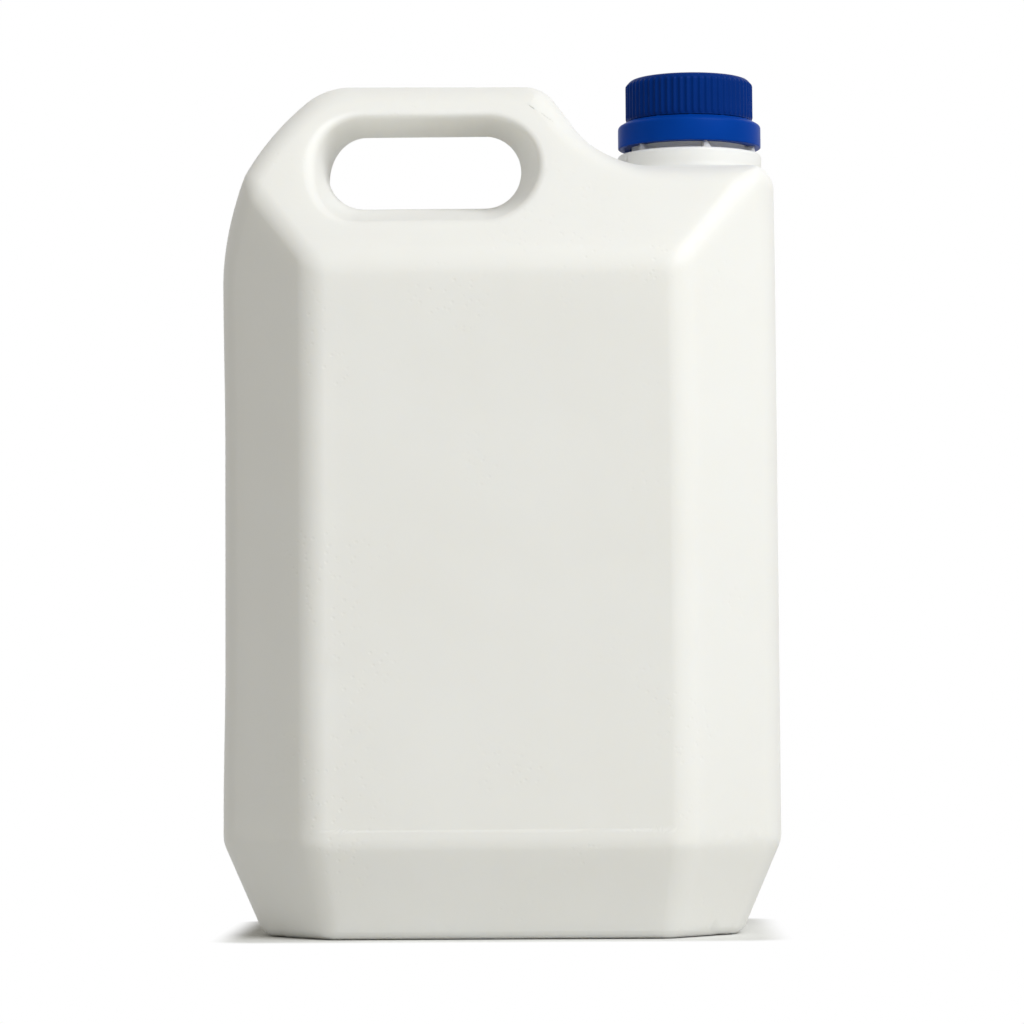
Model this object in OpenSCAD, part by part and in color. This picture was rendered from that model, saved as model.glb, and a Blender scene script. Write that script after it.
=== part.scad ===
// Blow-moulded plastic canister with a carrying handle and a screw closure.
// Origin at the middle of the foot, Z up, the broad front faces -Y, the neck stands at +X.

/* [Body] */
// Width across the two narrow sides
body_w = 182.4; // [150:0.2:230]
// Depth from the front panel to the back panel
body_d = 130; // [110:0.5:170]
// Width of the flat front panel between its sharp corners
panel_w = 120.6; // [100:0.2:140]
// Wall thickness of the blown body
wall = 1.4; // [0.8:0.1:2]
// Rounding of the upright edges
edge_r = 12; // [9:0.5:16]

/* [Foot] */
// Height of the tapered foot
waist_h = 30.5; // [20:0.5:45]
// How far the foot draws in on every side
foot_inset = 13; // [6:0.5:18]
// Rounding round the underside
foot_r = 5; // [3:0.5:8]
// Depth of the recess in the underside
recess_h = 2.5; // [1:0.25:4]
// Width of the flat rim that the canister stands on
rim_w = 11; // [6:0.5:18]

/* [Upper part] */
// Height of the upright panels above the foot
panel_h = 188; // [140:1:240]
// Rise from the panels' top to the shoulder round the neck
shoulder_rise = 33.5; // [28:0.5:42]
// Rounding of the shoulder
shoulder_r = 8; // [6:0.5:10]
// Rise from the panels' top to the top of the handle
handle_rise = 64.2; // [58:0.2:74]
// Thickness of the handle between the two slopes, measured at its top
handle_t = 28.6; // [26:0.2:36]
// Rounding along the handle
handle_r = 10; // [7:0.5:11]
// Radius of the long curve behind the handle
back_r = 80; // [70:1:84]
// Radius of the short curve where it meets the handle's top
top_r = 30; // [24:1:36]

/* [Grip hole] */
// Length of the hole at its narrowest
grip_l = 65.3; // [58:0.1:70]
// Height of the hole at its narrowest
grip_h = 24.5; // [20:0.1:27]
// Distance from the handle side of the body to the middle of the hole
grip_in = 65.7; // [62:0.1:69]
// Distance from the handle's top down to the middle of the hole
grip_down = 28.5; // [26:0.1:31]
// Draft of the walls of the hole in degrees
grip_draft = 8; // [4:0.5:9]

/* [Neck] */
// Distance from the neck side of the body to the neck's axis
neck_in = 27.2; // [26.5:0.1:31]
// Radius of the bore
bore_r = 15.6; // [12:0.1:17]
// Wall of the neck
neck_wall = 1.9; // [1.5:0.1:2.4]
// Height of the neck above the shoulder
neck_h = 30; // [27:0.1:36]
// Radius of the collar under the closure
collar_r = 24.2; // [23.8:0.1:24.6]
// Height of the collar above the shoulder
collar_h = 7.2; // [5:0.1:8]
// How far the snap bead stands out from the neck
bead_out = 3.4; // [2.5:0.1:3.8]
// Number of lugs on the collar, under the tamper ring
lug_count = 6; // [4:1:12]
// Turn of the lugs about the neck in degrees
lug_turn = 12; // [0:1:45]
// Length of each lug round the collar
lug_w = 4; // [2:0.5:6]

/* [Closure] */
// Running clearance between the neck and what goes over it
fit_gap = 0.35; // [0.3:0.05:0.5]
// Room for the thread between the neck and the cap
thread_room = 1.5; // [1.2:0.1:1.8]
// Wall of the cap with its ribs
cap_wall = 1.7; // [1.3:0.1:2.5]
// Thickness of the cap's top plate
cap_top_t = 1.7; // [1.2:0.1:2.5]
// Rounding of the cap's upper edge
cap_edge_r = 3; // [2:0.25:3.5]
// Number of grip ribs round the cap
rib_count = 60; // [40:2:72]
// Depth of the grooves between the ribs
rib_h = 0.5; // [0.3:0.05:0.7]
// How far the rounded top stands in from the grooves
dome_step = 0.2; // [0.1:0.05:0.5]
// Thickness of the sealing disc
liner_t = 1.1; // [0.8:0.1:1.6]
// Height of the tamper ring
ring_h = 8.6; // [8:0.1:10]
// Wall of the tamper ring
ring_wall = 1.6; // [1.2:0.1:2]
// Gap between the collar and the tamper ring, filled by the lugs
ring_lift = 2.3; // [1.5:0.1:2.8]
// Slit between the tamper ring and the cap
slit = 0.4; // [0.3:0.05:0.6]

/* [Hidden] */
ball_fn = 32;
round_fn = 96;
blown_white = "#ecebe6";
closure_blue = "#0a3a93";
foam_white = "#f4f4f0";
side = body_w / 2;
front = body_d / 2;
panel = panel_w / 2;
// Every corner of the plan turns 45 degrees, so an inset moves it along by this share
turn = sqrt(2) - 1;
foot_a = atan(foot_inset / waist_h);
panel_top = waist_h + panel_h;
shoulder_z = panel_top + shoulder_rise;
handle_top = panel_top + handle_rise;
// Depth that the slope loses for each millimetre of height, and its angle
slope = (front - handle_t / 2) / handle_rise;
slope_a = atan(slope);
// Step along the back curve in degrees, and flat space between the ramp and the collar
curve_step = 9;
ramp_gap = 1;
back_x = -side + back_r;
back_z = handle_top - top_r - (back_r - top_r) * sin(45);
grip_x = -side + grip_in;
grip_z = handle_top - grip_down;
neck_x = side - neck_in;
neck_r = bore_r + neck_wall;
neck_top = shoulder_z + neck_h;
collar_top = shoulder_z + collar_h;
ring_z = collar_top + ring_lift;
ring_top = ring_z + ring_h;
lip_h = 1.8;
bead_r = neck_r + bead_out;
bead_z = ring_z + lip_h + fit_gap;
bead_h = 2.2;
// Below the bead the neck is stouter, and the ring's lip runs round it
bead_step = 1.4;
stout_r = bead_r - bead_step;
ring_in = bead_r + fit_gap;
// The ring flares out past the cap by this much
ring_flare = 0.9;
ring_r = ring_in + ring_wall + ring_flare;
cap_in = neck_r + thread_room + fit_gap;
cap_r = cap_in + cap_wall;
cap_z = ring_top + slit;
liner_z = neck_top;
cap_ceiling = liner_z + liner_t;
cap_top = cap_ceiling + cap_top_t;
liner_gap = 0.3;
bridge_count = 12;
bridge_w = 1.2;
// Overlap of joined shapes, and how far a cut runs past the surface that it leaves
eps = 0.02;
past = 5;

// Plan corners of one quarter, drawn in by q: front corner, then side corner
function quarter(q) = [
    [panel - turn * q, front - q],
    [side - q, panel + front - side - turn * q]
];
function mirrored(points) = [
    for (p = points, sx = [-1, 1], sy = [-1, 1]) [sx * p.x, sy * p.y]
];
// Half depth left by the slope, and by the upright chamfer, for a ball of radius r
function slope_depth(z, r) = front - slope * (z - panel_top) - r * sqrt(1 + slope * slope);
function chamfer_depth(x, r) = panel + front - abs(x) - sqrt(2) * r;
function ball_depth(x, z, r) = min(slope_depth(z, r), chamfer_depth(x, r));
// Centre of a ball that rolls inside the curve behind the handle, at angle a from level
function back_curve(a, r) = a < 45
    ? [back_x - (back_r - r) * cos(a), back_z + (back_r - r) * sin(a)]
    : [back_x - (back_r - top_r) * cos(45) - (top_r - r) * cos(a),
       back_z + (back_r - top_r) * sin(45) + (top_r - r) * sin(a)];

// Heights round a ball's side, as angles: they take in each plane that it touches
cap_steps = 4;
ball_angles = concat(
    [for (i = [0 : cap_steps - 1]) -90 + i * (90 - foot_a) / cap_steps], [-foot_a, -foot_a / 2, 0],
    [slope_a / 3, slope_a * 2 / 3],
    [for (i = [0 : cap_steps]) slope_a + i * (90 - slope_a) / cap_steps]
);

// Balls whose faceted skin touches the sides, the chamfers, the slopes and the foot exactly
module balls(centres, r, inset) {
    for (c = centres) translate(c) rotate_extrude($fn = ball_fn)
        polygon([for (a = ball_angles) (r - inset) * [max(cos(a), 0), sin(a)]]);
}

// Hull of balls at the corners; the same balls made smaller give the inner face of the wall
module trunk(inset) {
    foot_q = foot_inset - foot_r * tan(foot_a) + foot_r / cos(foot_a);
    top_z = shoulder_z - shoulder_r;
    top_y = slope_depth(top_z, shoulder_r);
    side_x = side - shoulder_r;
    hull() {
        balls([for (p = mirrored(quarter(foot_q))) [p.x, p.y, foot_r]], foot_r, inset);
        balls([for (p = mirrored(quarter(edge_r))) [p.x, p.y, waist_h + edge_r * tan(foot_a / 2)]],
            edge_r, inset);
        balls([for (p = mirrored(quarter(edge_r))) [p.x, p.y, panel_top - edge_r * tan(slope_a / 2)]],
            edge_r, inset);
        balls([for (sy = [-1, 1], x = [neck_x - collar_r, panel + front - top_y - sqrt(2) * shoulder_r])
            [x, sy * top_y, top_z]], shoulder_r, inset);
        balls([for (sy = [-1, 1]) [side_x, sy * chamfer_depth(side_x, shoulder_r), top_z]],
            shoulder_r, inset);
    }
}

// The wedge that carries the handle, from the long back curve to the ramp beside the neck
module wedge(inset) {
    ramp_z = shoulder_z - handle_r;
    ramp_x = neck_x - collar_r - ramp_gap;
    peak_z = handle_top - handle_r;
    peak_x = ramp_x - (peak_z - ramp_z);
    hull() {
        balls([for (x = [-quarter(edge_r)[0].x, ramp_x], sy = [-1, 1])
            [x, sy * (front - edge_r), panel_top - edge_r * tan(slope_a / 2)]], edge_r, inset);
        balls([for (a = [0 : curve_step : 90], sy = [-1, 1]) let (c = back_curve(a, handle_r))
            [c[0], sy * ball_depth(c[0], c[1], handle_r), c[1]]], handle_r, inset);
        balls([for (c = [[ramp_x, ramp_z], [peak_x, peak_z]], sy = [-1, 1])
            [c[0], sy * slope_depth(c[1], handle_r), c[1]]], handle_r, inset);
    }
}

// Through hole with drafted walls, grown by the wall where it is cut from the cavity
module grip_hole(grow) {
    mid_r = grip_h / 2 + grow;
    reach = front + past;
    end_r = mid_r + reach * tan(grip_draft);
    half = (grip_l - grip_h) / 2;
    translate([grip_x, 0, grip_z])
        for (turn_a = [90, -90]) {
            for (x = [-half, half]) translate([x, 0, 0])
                rotate([turn_a, 0, 0]) cylinder(h = reach, r1 = mid_r, r2 = end_r, $fn = round_fn);
            translate([-half, 0, 0]) rotate([0, 90, 0]) rotate([0, 0, turn_a < 0 ? 0 : 180])
                linear_extrude(height = 2 * half)
                    polygon([[-mid_r, 0], [-end_r, reach], [end_r, reach], [mid_r, 0]]);
        }
}

module plan(q) {
    f = quarter(q);
    polygon([for (s = [[1, 1, 0], [1, 1, 1], [1, -1, 1], [1, -1, 0], [-1, -1, 0], [-1, -1, 1],
        [-1, 1, 1], [-1, 1, 0]]) [s[0] * f[s[2]].x, s[1] * f[s[2]].y]]);
}

// Space under the raised bottom, inside the rim that meets the floor
module recess(grow) {
    translate([0, 0, -past])
        linear_extrude(height = recess_h + past + grow) plan(foot_inset + foot_r + rim_w - grow);
}

module neck_form() {
    chamfer = 0.8;
    lug_root = 0.5;
    translate([neck_x, 0, 0]) {
        rotate_extrude($fn = round_fn) polygon([
            [0, shoulder_z - shoulder_r / 2], [collar_r, shoulder_z - shoulder_r / 2],
            [collar_r, collar_top - chamfer], [collar_r - chamfer, collar_top],
            [stout_r, collar_top], [stout_r, bead_z], [bead_r, bead_z],
            [neck_r, bead_z + bead_h], [neck_r, neck_top - chamfer / 2],
            [neck_r - chamfer / 2, neck_top], [0, neck_top]
        ]);
        for (i = [0 : lug_count - 1]) rotate([0, 0, lug_turn - 90 + i * 360 / lug_count])
            translate([stout_r - lug_root, -lug_w / 2, collar_top - lug_root])
                cube([collar_r - stout_r - chamfer, lug_w, ring_lift + lug_root]);
    }
}

module neck_bore() {
    throat_gap = 0.6;
    throat_r = collar_r - wall - throat_gap;
    throat_top = collar_top - wall;
    translate([neck_x, 0, 0]) {
        translate([0, 0, throat_top - eps]) cylinder(h = neck_h, r = bore_r, $fn = round_fn);
        translate([0, 0, shoulder_z - shoulder_r]) cylinder(
            h = throat_top - shoulder_z + shoulder_r, r = throat_r, $fn = round_fn);
    }
}

// The blown form, drawn in by the wall where it is the cavity, held to its stated outside size
module blown_form(inset) {
    difference() {
        resize([body_w - 2 * inset, body_d - 2 * inset, handle_top - 2 * inset]) union() {
            trunk(inset);
            wedge(inset);
        }
        grip_hole(inset);
        recess(inset);
    }
}

module canister() {
    color(blown_white) difference() {
        union() {
            blown_form(0);
            neck_form();
        }
        blown_form(wall);
        neck_bore();
    }
}

module tamper_ring() {
    bevel = 1.2;
    flange = 1;
    flange_slope = 0.6;
    bridge_in = 1.2;
    bridge_t = 0.9;
    bridge_root = 0.5;
    broken_h = slit * 0.7;
    color(closure_blue) translate([neck_x, 0, 0]) {
        rotate_extrude($fn = round_fn) polygon([
            [stout_r + fit_gap, ring_z], [ring_r, ring_z], [ring_r, ring_top - bevel],
            [ring_r - bevel, ring_top], [ring_in - flange, ring_top],
            [ring_in - flange, ring_top - flange], [ring_in, ring_top - flange - flange_slope],
            [ring_in, ring_z + lip_h + fit_gap / 2], [stout_r + fit_gap, ring_z + lip_h]
        ]);
        for (i = [0 : bridge_count - 1]) rotate([0, 0, i * 360 / bridge_count])
            translate([cap_r - bridge_in, -bridge_w / 2, ring_top - bridge_root])
                cube([bridge_t, bridge_w, bridge_root + broken_h]);
    }
}

// Wavy outline of the ribs: one wave for each rib
module rib_outline() {
    points_per_rib = 4;
    points = rib_count * points_per_rib;
    polygon([for (i = [0 : points - 1]) let (a = i * 360 / points,
        r = cap_r - rib_h * (1 - cos(a * rib_count)) / 2) [r * cos(a), r * sin(a)]]);
}

// Half section of the cap's rounded top
module dome_section() {
    rim = cap_r - rib_h - dome_step;
    difference() {
        translate([0, cap_top - cap_edge_r]) square([rim, cap_edge_r]);
        translate([rim - cap_edge_r, cap_top - cap_edge_r]) difference() {
            square(cap_edge_r + past);
            circle(r = cap_edge_r, $fn = round_fn);
        }
    }
}

module screw_cap() {
    color(closure_blue) translate([neck_x, 0, 0]) difference() {
        union() {
            translate([0, 0, cap_z]) linear_extrude(height = cap_top - cap_edge_r - cap_z)
                rib_outline();
            rotate_extrude($fn = round_fn) dome_section();
        }
        translate([0, 0, cap_z - past])
            cylinder(h = cap_ceiling - cap_z + past, r = cap_in, $fn = round_fn);
    }
}

module cap_liner() {
    color(foam_white) translate([neck_x, 0, liner_z])
        cylinder(h = liner_t, r = cap_in - liner_gap, $fn = round_fn);
}

canister();
tamper_ring();
screw_cap();
cap_liner();
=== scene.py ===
"""Blow-moulded plastic canister with a handle, a ribbed screw cap and a tamper ring.

Every new piece is a grid of points worked out with numpy from a formula that its docstring gives.
Lengths in the formulas are millimetres, and meshes are written in metres.
"""
import math

import bpy
import numpy as np
from mathutils import Matrix, Vector


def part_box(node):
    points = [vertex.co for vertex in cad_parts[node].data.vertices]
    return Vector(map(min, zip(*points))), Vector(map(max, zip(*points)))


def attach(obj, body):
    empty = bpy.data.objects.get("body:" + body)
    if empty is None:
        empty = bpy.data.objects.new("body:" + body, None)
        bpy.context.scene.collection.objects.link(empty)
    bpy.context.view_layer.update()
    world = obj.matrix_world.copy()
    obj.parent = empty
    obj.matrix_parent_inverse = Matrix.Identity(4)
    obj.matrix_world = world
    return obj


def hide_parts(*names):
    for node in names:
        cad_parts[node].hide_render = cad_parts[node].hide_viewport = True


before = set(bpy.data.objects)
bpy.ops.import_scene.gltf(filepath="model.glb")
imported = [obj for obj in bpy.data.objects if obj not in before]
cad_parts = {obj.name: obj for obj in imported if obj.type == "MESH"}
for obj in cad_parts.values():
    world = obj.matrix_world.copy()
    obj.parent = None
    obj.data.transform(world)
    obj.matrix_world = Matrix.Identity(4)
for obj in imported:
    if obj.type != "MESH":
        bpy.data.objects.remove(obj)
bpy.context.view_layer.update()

bl_info = {
    "name": "Blown canister with screw cap",
    "version": (1, 0, 0),
    "blender": (4, 5, 0),
    "location": "View3D > Sidebar > Canister",
    "description": "Builds a blow-moulded canister, its closure and a pale studio",
    "category": "Add Mesh",
}

MM = 0.001
FULL_TURN = 2 * math.pi
THREAD_PITCH, THREAD_START, THREAD_TURNS = 4.0, 267.4, 2.9
THREAD_FLAT, THREAD_FOOT, THREAD_LEAD, THREAD_FADE = 0.35, 1.15, 0.1, 0.4


def extent(node):
    """Lowest and highest corner of a CAD node in millimetres."""
    low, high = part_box(node)
    return np.array(low) / MM, np.array(high) / MM


CANISTER_LOW, CANISTER_HIGH = extent("canister")
RING_LOW, RING_HIGH = extent("tamper_ring")
CAP_LOW, CAP_HIGH = extent("screw_cap")
LINER_LOW, LINER_HIGH = extent("cap_liner")
NECK_X = (CAP_LOW[0] + CAP_HIGH[0]) / 2


def linear(hex_colour):
    """Linear red, green and blue of an sRGB hex colour such as #E9E8E3."""
    parts = [int(hex_colour[i:i + 2], 16) / 255 for i in (1, 3, 5)]
    return tuple(c / 12.92 if c <= 0.04045 else ((c + 0.055) / 1.055) ** 2.4 for c in parts)


def length_prop(name, text, value):
    """A length property: value in millimetres, stored in metres."""
    return bpy.props.FloatProperty(name=name, description=text, default=value * MM, unit="LENGTH")


def count_prop(name, text, value):
    """A whole-number property of at least one."""
    return bpy.props.IntProperty(name=name, description=text, default=value, min=1)


def colour_prop(name, text, hex_colour):
    """A colour property that starts from an sRGB hex colour."""
    return bpy.props.FloatVectorProperty(
        name=name, description=text, subtype="COLOR", size=3, min=0, max=1,
        default=linear(hex_colour))


class BodySizes(bpy.types.PropertyGroup):
    """Sizes of the blown body."""

    width: length_prop("Width", "Width over the narrow sides", CANISTER_HIGH[0] - CANISTER_LOW[0])
    depth: length_prop("Depth", "Depth over the panels", CANISTER_HIGH[1] - CANISTER_LOW[1])
    top: length_prop("Handle top", "Height of the handle's top", CANISTER_HIGH[2])
    panel: length_prop("Panel width", "Width between the panel's sharp corners", 120.6)
    waist: length_prop("Waist", "Height of the tapered foot", 30.5)
    foot_inset: length_prop("Foot inset", "How far the foot draws in", 13.0)
    panel_top: length_prop("Panel top", "Height where the slope starts", 218.5)
    shoulder: length_prop("Shoulder", "Height of the shoulder round the neck", 252.0)
    handle: length_prop("Handle thickness", "Distance between the slopes at the top", 28.6)
    back_r: length_prop("Back curve", "Radius of the long curve behind the handle", 89.4)
    top_r: length_prop("Top curve", "Radius where that curve meets the top", 21.2)
    grip_l: length_prop("Grip length", "Length of the grip hole at its narrowest", 65.3)
    grip_h: length_prop("Grip height", "Height of the grip hole at its narrowest", 24.5)
    grip_x: length_prop("Grip place", "Middle of the grip hole from the axis", -25.5)
    grip_z: length_prop("Grip height above foot", "Middle of the grip hole", 254.2)


class ClosureSizes(bpy.types.PropertyGroup):
    """Sizes of the neck, the cap and the tamper ring."""

    neck_x: length_prop("Neck axis", "Distance of the neck's axis from the middle", NECK_X)
    neck_r: length_prop("Neck radius", "Outside of the neck under the thread", 17.5)
    stout_r: length_prop("Stout radius", "Outside of the neck inside the ring", 19.5)
    bead_r: length_prop("Bead radius", "Bead that holds the ring down", 20.9)
    bore_r: length_prop("Bore radius", "Inside of the neck", 15.6)
    collar_r: length_prop("Collar radius", "Collar under the closure", 24.2)
    collar_top: length_prop("Collar top", "Height of the collar's upper face", 259.2)
    neck_top: length_prop("Neck top", "Height of the neck's lip", LINER_LOW[2])
    lugs: count_prop("Lugs", "Lugs on the collar", 6)
    lug_turn: bpy.props.FloatProperty(
        name="Lug turn", description="Turn of the front lug from straight ahead",
        default=math.radians(11.5), unit="ROTATION")
    bridges: count_prop("Bridges", "Broken bridges on the tamper ring", 12)
    ribs: count_prop("Ribs", "Grip ribs round the cap", 60)
    rib_h: length_prop("Rib height", "How far a rib stands out", 0.4)


class FinishColours(bpy.types.PropertyGroup):
    """Colours of the plastics and the studio."""

    body: colour_prop("Body", "Natural white polyethylene", "#EFEFEC")
    body_warm: colour_prop("Body, warm", "The same where the wall is thicker", "#EBEAE5")
    # One blue plastic in two tones: the cap's darker blue is painted shade between its ribs, and the
    # ring's lighter blue is painted reflection of the white neck below.
    cap: colour_prop("Cap", "Deep blue polyethylene of the cap, darkened by painted rib shade", "#022A72")
    ring: colour_prop("Ring", "Deep blue polyethylene of the thin ring, lightened by painted reflection", "#023A94")
    foam: colour_prop("Liner", "White foam of the sealing disc", "#EFEFEA")
    floor: colour_prop("Floor", "Studio floor", "#E6E6E4")


def outward(vertices, faces):
    """The faces, turned round if they enclose a negative volume."""
    quads = [face for face in faces if len(face) == 4]
    corners = vertices[np.array(quads)]
    across = np.cross(corners[:, 2] - corners[:, 0], corners[:, 3] - corners[:, 1])
    volume = np.sum(across * corners.mean(axis=1))
    return faces if volume > 0 else [face[::-1] for face in faces]


def build_mesh(name, vertices, faces, normals=None):
    """A smooth-shaded mesh object at the origin from millimetre points and their faces."""
    mesh = bpy.data.meshes.new(name)
    mesh.from_pydata((vertices * MM).tolist(), [], outward(vertices, faces))
    mesh.polygons.foreach_set("use_smooth", np.ones(len(mesh.polygons), dtype=bool))
    mesh.update()
    if normals is not None:
        mesh.normals_split_custom_set_from_vertices(normals.tolist())
    piece = bpy.data.objects.new(name, mesh)
    bpy.context.scene.collection.objects.link(piece)
    return piece


def grid_quads(rows, columns, wrap_rows):
    """Quads of a grid whose columns close on themselves, and whose rows do where asked."""
    i, j = np.meshgrid(np.arange(rows if wrap_rows else rows - 1), np.arange(columns), indexing="ij")
    i_next, j_next = (i + 1) % rows, (j + 1) % columns
    quads = np.stack([i * columns + j, i_next * columns + j,
                      i_next * columns + j_next, i * columns + j_next], axis=-1)
    return quads.reshape(-1, 4).tolist()


def turned_piece(name, radii, heights, azimuths, centre_x, closed):
    """A piece turned about the neck's axis, with a radius and a height for each row and column.

    Rows follow the section and columns go round. A closed section joins its last row to its first.
    Otherwise the first and last rows shrink to one point each on the axis.
    """
    points = np.stack([centre_x + radii * np.cos(azimuths), radii * np.sin(azimuths),
                       np.broadcast_to(heights, radii.shape)], axis=-1)
    rows, columns = radii.shape
    if closed:
        return build_mesh(name, points.reshape(-1, 3), grid_quads(rows, columns, True))
    body = points[1:-1].reshape(-1, 3)
    poles = np.stack([points[0].mean(axis=0), points[-1].mean(axis=0)])
    around = np.arange(columns)
    after = (around + 1) % columns
    base = (rows - 3) * columns
    first, last = len(body), len(body) + 1
    start = np.stack([np.full(columns, first), around, after], axis=-1)
    end = np.stack([base + around, np.full(columns, last), base + after], axis=-1)
    faces = grid_quads(rows - 2, columns, False) + start.tolist() + end.tolist()
    return build_mesh(name, np.concatenate([body, poles]), faces)


def rounded(a, b, r):
    """Both of two regions, given by signed distances, with the edge between them rounded by r."""
    inside = np.minimum(np.maximum(a, b), -r)
    return inside + np.hypot(np.maximum(a + r, 0), np.maximum(b + r, 0))


def filleted(a, b, r):
    """Either of two regions, given by signed distances, with the corner between them filled by r."""
    outside = np.maximum(np.minimum(a, b), r)
    return outside - np.hypot(np.maximum(r - a, 0), np.maximum(r - b, 0))


def smooth_step(x, low, high):
    """0 below low and 1 above high, with a soft ramp between."""
    t = np.clip((x - low) / (high - low), 0, 1)
    return t * t * (3 - 2 * t)


class Body:
    """Signed distance of the blown body, negative inside, built from planes and arcs.

    The plan is an octagon with 45 degree corners. Below the waist the whole octagon draws in.
    Above the panel's top two planes lean together to the handle. Seen from the front, the outline
    is a shoulder block joined by a wide fillet to a handle block with a curved back. The grip hole
    is a stadium whose walls are drafted away from the middle plane.
    """

    edge_soft, slope_soft, waist_soft, foot_soft, foot_round = 4.0, 3.5, 0.8, 3.0, 0.9
    side_soft, crest_soft, crest_run, shoulder_soft = 5.5, 8.0, 30.0, 8.0
    ramp_fill, peak_soft, top_lift, top_fall = 13.1, 5.0, 0.13, 0.0087
    ramp_angle, ramp_x, ramp_z = math.radians(56.4), 18.9, 276.1
    # Draft in degrees and edge radius of the grip hole on its right, top, left and bottom
    drafts, rim_rounds = (10.0, 8.0, 3.0, 10.8), (2.2, 3.0, 4.2, 1.6)
    recess, rim_w, recess_run = 2.5, 11.0, 7.0
    # How far the walls sink between foot and slope, where that starts, and where it is full
    sink, sink_start, sink_run = 0.7, 8.0, 60.0
    # The label's field is stepped in above its lower edge and fades out below the slope
    label_step, label_edge, label_soft, label_side = 0.3, 4.6, 0.5, 0.3
    label_fade, label_end = 50.0, 10.0

    def __init__(self, sizes):
        self.side = sizes.width / MM / 2
        self.front = sizes.depth / MM / 2
        self.panel = sizes.panel / MM / 2
        self.top, self.waist = sizes.top / MM + self.top_lift, sizes.waist / MM
        self.label_z = self.waist + self.label_edge
        self.panel_top, self.shoulder = sizes.panel_top / MM, sizes.shoulder / MM
        self.corner = (self.panel + self.front) * math.sqrt(0.5)
        self.foot_inset = sizes.foot_inset / MM
        self.foot_angle = math.atan2(self.foot_inset, self.waist)
        self.foot_edge = self.panel - (math.sqrt(2) - 1) * self.foot_inset
        self.lean = (self.front - sizes.handle / MM / 2) / (self.top - self.panel_top)
        self.back_r, self.top_r = sizes.back_r / MM, sizes.top_r / MM
        self.grip_half = (sizes.grip_l - sizes.grip_h) / MM / 2
        self.grip_r = sizes.grip_h / MM / 2
        self.grip_x, self.grip_z = sizes.grip_x / MM, sizes.grip_z / MM
        gap = (self.back_r - self.top_r) * math.sqrt(0.5)
        self.back_x, self.back_z = self.back_r - self.side, self.top - self.top_r - gap
        self.bend_x, self.bend_z = self.back_x - gap, self.back_z + gap

    def outline(self, x, z):
        """Front outline above the foot: the shoulder block or the handle block, and the sides."""
        over = (x - self.back_x) + (z - self.back_z) > 0
        bend = np.where(x > self.bend_x, z - self.top + self.top_fall * (x - self.bend_x),
                        np.hypot(x - self.bend_x, z - self.bend_z) - self.top_r)
        curve = np.where(z < self.back_z, -x - self.side,
                         np.hypot(x - self.back_x, z - self.back_z) - self.back_r)
        ramp = ((x - self.ramp_x) * math.sin(self.ramp_angle)
                + (z - self.ramp_z) * math.cos(self.ramp_angle))
        handle = rounded(np.where(over, bend, curve), ramp, self.peak_soft)
        block = np.maximum(z - self.shoulder, -x)
        return rounded(filleted(handle, block, self.ramp_fill), x - self.side, self.shoulder_soft)

    def trunk(self, x, y, z):
        """Panels, corner planes and slopes met by the front outline, without the foot."""
        high = smooth_step(z, self.waist + self.sink_start, self.waist + self.sink_run)
        high = high * (1 - smooth_step(z, self.panel_top - self.sink_run, self.panel_top))
        label = smooth_step(z, self.label_z - self.label_soft, self.label_z + self.label_soft)
        fade = smooth_step(z, self.panel_top - self.label_fade, self.panel_top - self.label_end)
        label = label * (1 - fade)
        across = np.clip(1 - (x / self.panel) ** 2, 0, 1)
        step = self.label_step * label * smooth_step(across, 0.0, self.label_side)
        bow = self.sink * high * across + step
        cut = (np.abs(x) + np.abs(y)) * math.sqrt(0.5) - self.corner
        spare = self.foot_round * np.maximum(self.waist - z, 0) * math.tan(self.foot_angle)
        field = rounded(np.abs(y) - self.front + bow, cut, self.edge_soft + spare)
        leaning = np.abs(y) - self.front + self.lean * (z - self.panel_top)
        field = rounded(field, leaning / math.hypot(1, self.lean), self.slope_soft)
        rise = smooth_step(z, self.back_z, self.back_z + self.crest_run)
        soft = self.side_soft + (self.crest_soft - self.side_soft) * rise
        return rounded(field, self.outline(x, z) + self.sink * high * (x < 0), soft + spare)

    def solid(self, x, y, z):
        """The body without its grip hole: the trunk, the tapered foot and the base's recess."""
        trunk = self.trunk(x, y, z)
        taper = (trunk + (self.waist - z) * math.tan(self.foot_angle)) * math.cos(self.foot_angle)
        field = rounded(trunk, taper, self.waist_soft)
        inward = -trunk - self.foot_inset - self.rim_w
        base = self.recess * smooth_step(inward, 0, self.recess_run) - z
        return rounded(field, base, self.foot_soft)

    def by_facing(self, values, x, z):
        """Mean of the values for the right, top, left and bottom of the grip hole, by direction."""
        along = x - self.grip_x
        along = np.sign(along) * np.maximum(np.abs(along) - self.grip_half, 0)
        rise = z - self.grip_z
        share = along ** 2 / np.maximum(along ** 2 + rise ** 2, 1e-9)
        right, top, left, bottom = values
        return share * np.where(along > 0, right, left) + (1 - share) * np.where(rise > 0, top, bottom)

    def grip(self, x, y, z):
        """Distance to the grip hole's wall, positive in the plastic."""
        along = np.maximum(np.abs(x - self.grip_x) - self.grip_half, 0)
        draft = np.radians(self.by_facing(self.drafts, x, z))
        gap = np.hypot(along, z - self.grip_z) - self.grip_r - np.abs(y) * np.tan(draft)
        return gap * np.cos(draft)

    def field(self, x, y, z):
        """The body with its grip hole."""
        rim = self.by_facing(self.rim_rounds, x, z)
        return rounded(self.solid(x, y, z), -self.grip(x, y, z), rim)


def solve_rays(point_at, field, shape, reach, turns=32):
    """Distance along each ray at which the field turns positive, by halving the span."""
    low = np.zeros(shape)
    high = np.full(shape, float(reach))
    for _ in range(turns):
        middle = (low + high) / 2
        outside = field(*point_at(middle)) > 0
        high = np.where(outside, middle, high)
        low = np.where(outside, low, middle)
    return (low + high) / 2


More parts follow.
